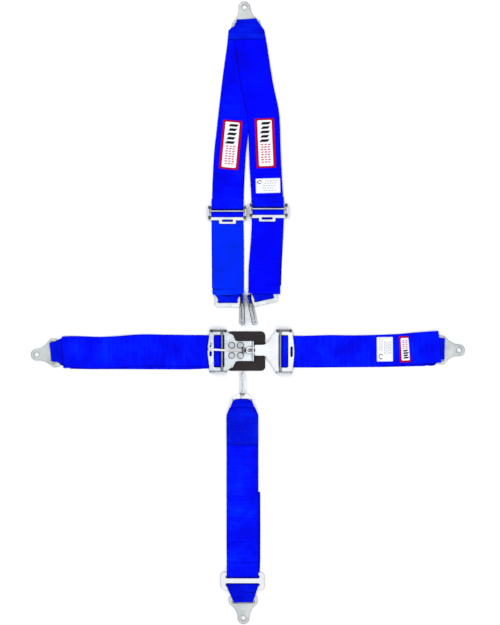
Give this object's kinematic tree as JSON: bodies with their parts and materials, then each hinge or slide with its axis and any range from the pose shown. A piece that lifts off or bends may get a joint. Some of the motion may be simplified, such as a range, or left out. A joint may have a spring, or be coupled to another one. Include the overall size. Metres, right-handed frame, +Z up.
{
  "type": "racing harness",
  "caption": "Blue racing harness laid flat: latch and link lap buckle, joined shoulder straps with metal adjusters, crotch strap and bolt-in anchor brackets.",
  "frame": {"origin": "centre of the flat harness's outline, on the surface it lies on", "axes": "+X towards the right lap bracket, +Y towards the shoulder bracket, +Z up from the surface"},
  "size_m": [1.0402, 1.4918, 0.0201],
  "materials": {
    "webbing": "woven polyester, matte with fine cross ribs",
    "bracket_steel": "zinc plated, satin",
    "bright_steel": "bright plated",
    "rivet_steel": "plated, slightly dull",
    "lever_steel": "bright plated",
    "pad": "charcoal felt-backed pad",
    "label_white": "woven label, matte",
    "label_bordered": "embroidered label with a red border"
  },
  "bodies": {
    "latch": {"latch_base": "bright_steel", "latch_rivets": "rivet_steel", "lever_pin": "rivet_steel", "buckle_pad": "pad"},
    "lever": {"latch_lever": "lever_steel"},
    "left_bar": {"left_lap_bar": "bright_steel"},
    "left_lap": {"left_lap_strap": "webbing"},
    "left_tail": {"left_lap_tail": "webbing"},
    "left_anchor": {"left_lap_bracket": "bracket_steel", "left_lap_neck": "webbing"},
    "link": {"lap_link": "bright_steel"},
    "right_bar": {"right_lap_bar": "bright_steel"},
    "right_lap": {"right_lap_strap": "webbing"},
    "right_tail": {"right_lap_tail": "webbing", "lap_tag": "label_white", "lap_patch": "label_bordered"},
    "right_anchor": {"right_lap_bracket": "bracket_steel", "right_lap_neck": "webbing"},
    "left_lower": {"left_lower_strap": "webbing", "left_adjuster": "bright_steel"},
    "left_rod": {"left_adjuster_rod": "bright_steel"},
    "left_link": {"left_shoulder_link": "bright_steel", "left_link_neck": "webbing"},
    "shoulders": {"left_shoulder_strap": "webbing", "right_shoulder_strap": "webbing", "left_shoulder_patch": "label_bordered", "right_shoulder_patch": "label_bordered", "shoulder_tag": "label_white"},
    "right_lower": {"right_lower_strap": "webbing", "right_adjuster": "bright_steel"},
    "right_rod": {"right_adjuster_rod": "bright_steel"},
    "right_link": {"right_shoulder_link": "bright_steel", "right_link_neck": "webbing"},
    "shoulder_anchor": {"shoulder_bracket": "bracket_steel", "shoulder_neck": "webbing"},
    "crotch": {"sub_strap": "webbing", "sub_tail": "webbing"},
    "crotch_link": {"sub_link": "bright_steel", "sub_link_neck": "webbing"},
    "crotch_slide": {"sub_adjuster": "bright_steel"},
    "crotch_anchor": {"sub_bracket": "bracket_steel", "sub_neck": "webbing"}
  },
  "joints": [
    {"name": "lever_hinge", "type": "hinge", "parent": "latch", "child": "lever", "pos_m": [-0.0096, -0.0902, 0.0155], "axis": [0, 1, 0], "range_deg": [0, 115]},
    {"name": "left_bar_float", "type": "slide", "parent": "latch", "child": "left_bar", "axis": [-1, 0, 0], "range_m": [0, 0.0026]},
    {"name": "left_lap_adjust", "type": "slide", "parent": "latch", "child": "left_lap", "axis": [-1, 0, 0], "range_m": [0, 0.12]},
    {"name": "left_tail_feed", "type": "slide", "parent": "latch", "child": "left_tail", "axis": [-1, 0, 0], "range_m": [-0.12, 0], "deforming": ["left_lap_tail"]},
    {"name": "left_anchor_swing", "type": "hinge", "parent": "left_lap", "child": "left_anchor", "pos_m": [-0.446, -0.0955, 0.00075], "axis": [0, 1, 0], "range_deg": [0, 90]},
    {"name": "link_release", "type": "slide", "parent": "latch", "child": "link", "axis": [1, 0, 0], "range_m": [0, 0.08]},
    {"name": "right_bar_float", "type": "slide", "parent": "link", "child": "right_bar", "axis": [1, 0, 0], "range_m": [0, 0.0026]},
    {"name": "right_lap_adjust", "type": "slide", "parent": "link", "child": "right_lap", "axis": [1, 0, 0], "range_m": [0, 0.12]},
    {"name": "right_tail_feed", "type": "slide", "parent": "link", "child": "right_tail", "axis": [1, 0, 0], "range_m": [-0.12, 0], "deforming": ["right_lap_tail"]},
    {"name": "right_anchor_swing", "type": "hinge", "parent": "right_lap", "child": "right_anchor", "pos_m": [0.4476, -0.0885, 0.00075], "axis": [0, -1, 0], "range_deg": [0, 90]},
    {"name": "shoulder_lay_off", "type": "slide", "parent": "latch", "child": "left_lower", "axis": [0, 1, 0], "range_m": [0, 0.12]},
    {"name": "left_rod_float", "type": "slide", "parent": "left_lower", "child": "left_rod", "axis": [0, 1, 0], "range_m": [0, 0.0026]},
    {"name": "left_link_swing", "type": "hinge", "parent": "left_lower", "child": "left_link", "pos_m": [-0.048, 0.0518, 0.00075], "axis": [-1, 0, 0], "range_deg": [0, 70]},
    {"name": "shoulder_adjust", "type": "slide", "parent": "left_lower", "child": "shoulders", "axis": [0, 1, 0], "range_m": [0, 0.12]},
    {"name": "right_shoulder_adjust", "type": "slide", "parent": "shoulders", "child": "right_lower", "axis": [0, -1, 0], "range_m": [0, 0.12]},
    {"name": "right_rod_float", "type": "slide", "parent": "right_lower", "child": "right_rod", "axis": [0, 1, 0], "range_m": [0, 0.0026]},
    {"name": "right_link_swing", "type": "hinge", "parent": "right_lower", "child": "right_link", "pos_m": [0.0416, 0.0582, 0.00075], "axis": [-1, 0, 0], "range_deg": [0, 70]},
    {"name": "shoulder_anchor_swing", "type": "hinge", "parent": "shoulders", "child": "shoulder_anchor", "pos_m": [-0.0022, 0.67, 0.00075], "axis": [1, 0, 0], "range_deg": [0, 90]},
    {"name": "crotch_lay_off", "type": "slide", "parent": "latch", "child": "crotch", "axis": [0, -1, 0], "range_m": [0, 0.12]},
    {"name": "crotch_link_swing", "type": "hinge", "parent": "crotch", "child": "crotch_link", "pos_m": [-0.0132, -0.2474, 0.00075], "axis": [1, 0, 0], "range_deg": [0, 90]},
    {"name": "crotch_slide_adjust", "type": "slide", "parent": "crotch", "child": "crotch_slide", "axis": [0, 1, 0], "range_m": [0, 0.1]},
    {"name": "crotch_anchor_swing", "type": "hinge", "parent": "crotch", "child": "crotch_anchor", "pos_m": [-0.0115, -0.6715, 0.00075], "axis": [-1, 0, 0], "range_deg": [0, 90]}
  ],
  "couplings": [
    {"joint": "left_tail_feed", "follows": "left_lap_adjust", "ratio": -1},
    {"joint": "right_tail_feed", "follows": "right_lap_adjust", "ratio": -1},
    {"joint": "right_shoulder_adjust", "follows": "shoulder_adjust", "ratio": 1}
  ]
}
